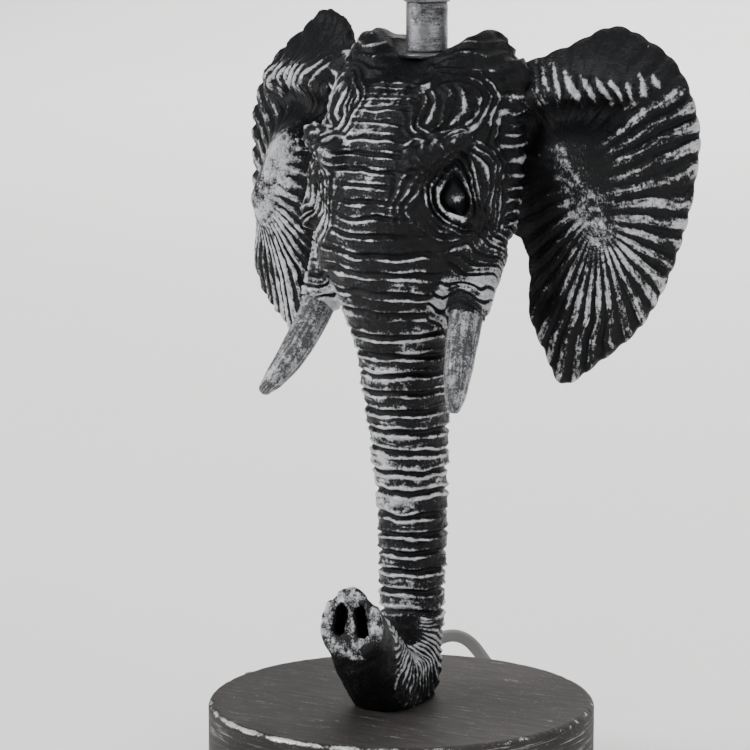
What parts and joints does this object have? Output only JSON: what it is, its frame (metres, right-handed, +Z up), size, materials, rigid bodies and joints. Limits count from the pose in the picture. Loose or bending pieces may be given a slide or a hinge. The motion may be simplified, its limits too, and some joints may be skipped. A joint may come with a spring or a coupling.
{
  "type": "table lamp",
  "caption": "Table lamp: a cast elephant head with spread ears stands on its trunk on a round drum base, with a stem and screw lampholder above.",
  "frame": {"origin": "centre of the felt underside of the round base", "axes": "+Z up the stem, the elephant faces -Y, +X to its left"},
  "size_m": [0.2242, 0.1997, 0.37],
  "materials": {
    "sculpture": "matt black with silver brushed over the raised skin folds",
    "drum_paint": "dark warm grey, brushed, silver worn through along the top edge",
    "stem_metal": "silver with dark streaks, satin",
    "raw_iron": "rough, unpainted",
    "plate_steel": "plain, satin",
    "zinc_steel": "zinc plated",
    "felt": "short felt",
    "black_plastic": "fine texture",
    "ceramic": "unglazed",
    "brass": "plain",
    "black_rubber": "soft moulded",
    "flex_grey": "flat twin flex, satin",
    "pin_nickel": "nickel plated"
  },
  "bodies": {
    "lamp": {"base_drum": "drum_paint", "ballast_disc": "raw_iron", "base_plate": "plate_steel", "base_plate_screws": "zinc_steel", "felt_disc": "felt", "head_casting": "sculpture", "ear_left": "sculpture", "ear_right": "sculpture", "tusk_left": "sculpture", "tusk_right": "sculpture", "conduit_tube": "zinc_steel", "base_washer": "zinc_steel", "base_nut": "zinc_steel", "head_washer": "stem_metal", "stem_sleeve": "stem_metal", "stem_collar": "stem_metal", "holder_cap": "black_plastic", "holder_insert": "ceramic", "contact_centre": "brass", "contact_side": "brass", "screw_shell": "brass", "holder_sleeve": "black_plastic", "terminal_screws": "zinc_steel", "cord_bush": "black_rubber", "cord_clamp": "black_plastic", "clamp_screws": "zinc_steel", "inner_cord": "flex_grey", "cord_lead": "flex_grey", "cord_coil": "flex_grey", "cord_tail": "flex_grey", "coil_tie": "black_plastic", "plug_body": "black_rubber", "plug_pins": "pin_nickel"},
    "switch_bar": {"switch_bar": "black_plastic"},
    "shade_ring": {"shade_ring": "black_plastic"}
  },
  "joints": [
    {"name": "switch_slide", "type": "slide", "parent": "lamp", "child": "switch_bar", "axis": [1, 0, 0], "range_m": [0, 0.006]},
    {"name": "shade_ring_slide", "type": "slide", "parent": "lamp", "child": "shade_ring", "axis": [0, 0, 1], "range_m": [0, 0.018]}
  ]
}
